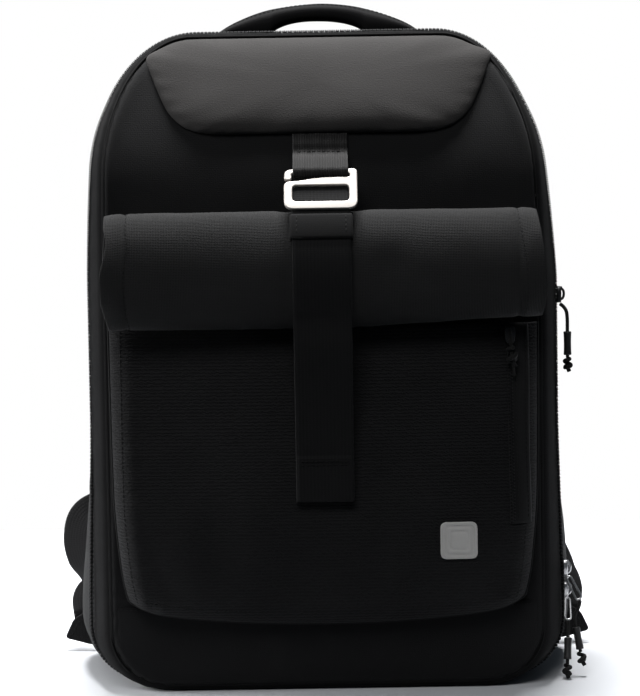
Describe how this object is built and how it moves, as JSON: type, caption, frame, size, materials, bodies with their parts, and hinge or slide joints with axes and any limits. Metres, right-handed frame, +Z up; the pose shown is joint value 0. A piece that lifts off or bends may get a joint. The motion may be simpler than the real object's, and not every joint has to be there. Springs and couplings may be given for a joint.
{
  "type": "backpack",
  "caption": "Black roll-top city backpack, about 30 litres, standing upright, with a G-hook strap over a rolled front pouch and two padded shoulder straps.",
  "frame": {"origin": "middle of the bag's flat base, on the surface it stands on", "axes": "+Z up, +X to the right seen from the front, front towards -Y"},
  "size_m": [0.4048, 0.2711, 0.4937],
  "materials": {
    "body_cloth": "matte woven polyester",
    "panel_cloth": "matte woven polyester",
    "pouch_cloth": "matte ribbed woven polyester",
    "roll_cloth": "matte ribbed woven polyester",
    "webbing": "ribbed woven webbing",
    "spacer_mesh": "knitted spacer mesh",
    "zip_tape": "matte coated tape",
    "cord_cloth": "braided cord",
    "patch_rubber": "matte",
    "hook_metal": "satin",
    "slider_metal": "dark satin",
    "black_plastic": "matte"
  },
  "bodies": {
    "root": {"anchor_wing_left": "webbing", "anchor_wing_right": "webbing", "back_pad_left": "spacer_mesh", "back_pad_right": "spacer_mesh", "base_gusset": "body_cloth", "buckle_anchor_loop": "webbing", "carry_handle": "webbing", "cord_knot_lower_a": "cord_cloth", "cord_knot_lower_b": "cord_cloth", "cord_knot_upper": "cord_cloth", "cord_sleeve_lower_a": "black_plastic", "cord_sleeve_lower_b": "black_plastic", "cord_sleeve_upper": "black_plastic", "front_pocket": "pouch_cloth", "front_shell": "body_cloth", "front_strap": "webbing", "front_zip": "zip_tape", "g_hook_buckle": "hook_metal", "main_zip": "zip_tape", "patch": "patch_rubber", "pocket_roll": "roll_cloth", "pull_cord_front": "cord_cloth", "pull_cord_lower_a": "cord_cloth", "pull_cord_lower_b": "cord_cloth", "pull_cord_upper": "cord_cloth", "rear_shell": "body_cloth", "roll_tab_left": "webbing", "roll_tab_right": "webbing", "shoulder_strap_left": "spacer_mesh", "shoulder_strap_right": "spacer_mesh", "strap_adjuster_left": "black_plastic", "strap_adjuster_right": "black_plastic", "strap_keeper": "webbing", "strap_webbing_left": "webbing", "strap_webbing_right": "webbing", "top_pocket_panel": "panel_cloth", "zip_puller_lower_a": "slider_metal", "zip_puller_lower_b": "slider_metal", "zip_slider_front": "slider_metal", "zip_slider_lower_a": "slider_metal", "zip_slider_lower_b": "slider_metal", "zip_slider_upper": "slider_metal"}
  },
  "joints": []
}
